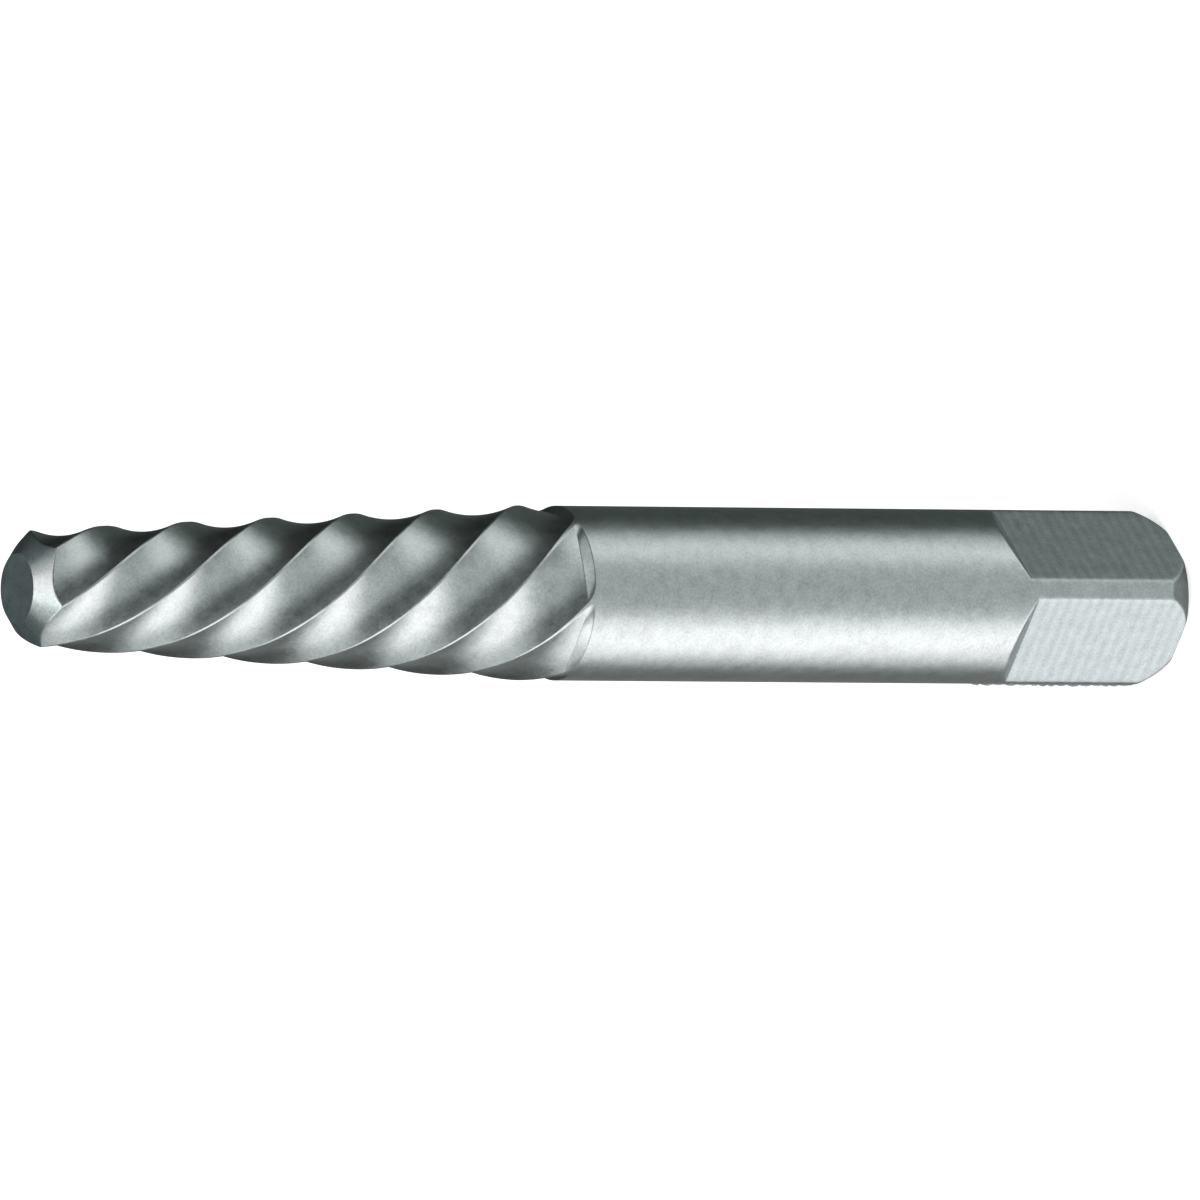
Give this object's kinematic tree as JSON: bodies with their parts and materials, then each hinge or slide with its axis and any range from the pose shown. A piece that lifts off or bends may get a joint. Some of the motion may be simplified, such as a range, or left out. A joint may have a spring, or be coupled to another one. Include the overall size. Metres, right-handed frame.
{
  "type": "screw extractor",
  "caption": "Screw extractor with a left-hand spiral-fluted taper, a plain round shank and a square driving end.",
  "frame": {"origin": "centre of the end face of the square, which the tool stands on", "axes": "+Z along the tool's axis towards the tip; X and Y square to the flats of the drive"},
  "size_m": [0.0114, 0.0114, 0.085],
  "materials": {
    "tool_steel": "fine bead-blasted satin, with milled flats on the square"
  },
  "bodies": {
    "root": {"extractor_body": "tool_steel"}
  },
  "joints": []
}
